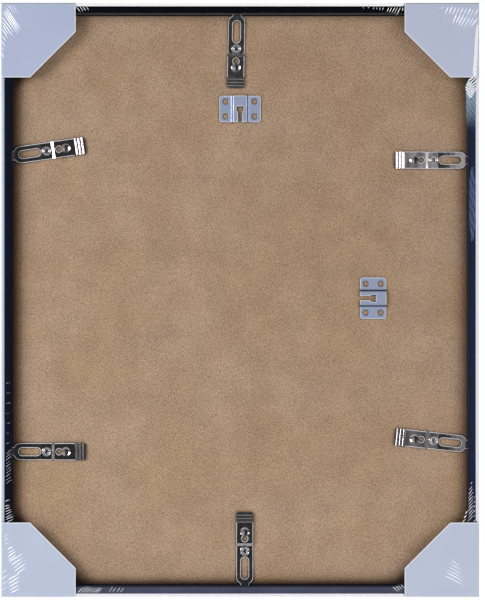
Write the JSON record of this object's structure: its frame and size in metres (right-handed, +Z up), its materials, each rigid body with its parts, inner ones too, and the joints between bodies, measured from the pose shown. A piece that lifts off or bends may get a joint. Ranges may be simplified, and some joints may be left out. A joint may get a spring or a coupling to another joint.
{
  "type": "picture frame",
  "caption": "Slim black picture frame with a hardboard back, riveted turn clips, two nail hangers and card corner guards.",
  "frame": {"origin": "where the nail seats in the portrait hanger, at the top of the middle lobe and in the middle of the plate's thickness", "axes": "+Z up as hung in portrait, +Y towards the glazing and the room, +X to the right as seen from the back"},
  "size_m": [0.4254, 0.022, 0.5288],
  "materials": {
    "black_moulding": "black satin lacquer on a slim wooden moulding",
    "nail_steel": "bare steel strip",
    "glazing": "clear, polished",
    "blank_sheet": "uncoated, unprinted",
    "hardboard": "pressed wood fibre with fine specks, matt",
    "zinc_plate": "bright zinc with a bluish passivation",
    "nickel_plate": "nickel plated spring steel, polished by rolling",
    "card": "white lined card, matt"
  },
  "bodies": {
    "root": {"moulding_top": "black_moulding", "moulding_bottom": "black_moulding", "moulding_left": "black_moulding", "moulding_right": "black_moulding", "corner_v_nails": "nail_steel", "glazing": "glazing", "insert_sheet": "blank_sheet", "backing_board": "hardboard", "hanger_portrait": "zinc_plate", "hanger_landscape": "zinc_plate", "clip_rivets": "nickel_plate"},
    "clip_top": {"clip_top": "nickel_plate"},
    "clip_bottom": {"clip_bottom": "nickel_plate"},
    "clip_left_upper": {"clip_left_upper": "nickel_plate"},
    "clip_left_lower": {"clip_left_lower": "nickel_plate"},
    "clip_right_upper": {"clip_right_upper": "nickel_plate"},
    "clip_right_lower": {"clip_right_lower": "nickel_plate"},
    "corner_guard_top_left": {"corner_guard_top_left": "card"},
    "corner_guard_top_right": {"corner_guard_top_right": "card"},
    "corner_guard_bottom_left": {"corner_guard_bottom_left": "card"},
    "corner_guard_bottom_right": {"corner_guard_bottom_right": "card"}
  },
  "joints": [
    {"name": "turn_top", "type": "hinge", "parent": "root", "child": "clip_top", "pos_m": [-0.00342, 0.0015, 0.05135], "axis": [0, 1, 0], "range_deg": [-131.3, 128.7]},
    {"name": "turn_bottom", "type": "hinge", "parent": "root", "child": "clip_bottom", "pos_m": [0.00423, 0.0015, -0.39845], "axis": [0, 1, 0], "range_deg": [-130, 130]},
    {"name": "turn_left_upper", "type": "hinge", "parent": "root", "child": "clip_left_upper", "pos_m": [-0.1732, 0.0015, -0.04034], "axis": [0, 1, 0], "range_deg": [-121.7, 138.3]},
    {"name": "turn_left_lower", "type": "hinge", "parent": "root", "child": "clip_left_lower", "pos_m": [-0.1732, 0.0015, -0.30932], "axis": [0, 1, 0], "range_deg": [-130, 130]},
    {"name": "turn_right_upper", "type": "hinge", "parent": "root", "child": "clip_right_upper", "pos_m": [0.1732, 0.0015, -0.0485], "axis": [0, 1, 0], "range_deg": [-130, 130]},
    {"name": "turn_right_lower", "type": "hinge", "parent": "root", "child": "clip_right_lower", "pos_m": [0.1732, 0.0015, -0.29962], "axis": [0, 1, 0], "range_deg": [-136.2, 123.8]},
    {"name": "pull_guard_top_left", "type": "slide", "parent": "root", "child": "corner_guard_top_left", "axis": [-0.7071, 0, 0.7071], "range_m": [0, 0.09]},
    {"name": "pull_guard_top_right", "type": "slide", "parent": "root", "child": "corner_guard_top_right", "axis": [0.7071, 0, 0.7071], "range_m": [0, 0.09]},
    {"name": "pull_guard_bottom_left", "type": "slide", "parent": "root", "child": "corner_guard_bottom_left", "axis": [-0.7071, 0, -0.7071], "range_m": [0, 0.09]},
    {"name": "pull_guard_bottom_right", "type": "slide", "parent": "root", "child": "corner_guard_bottom_right", "axis": [0.7071, 0, -0.7071], "range_m": [0, 0.09]}
  ]
}
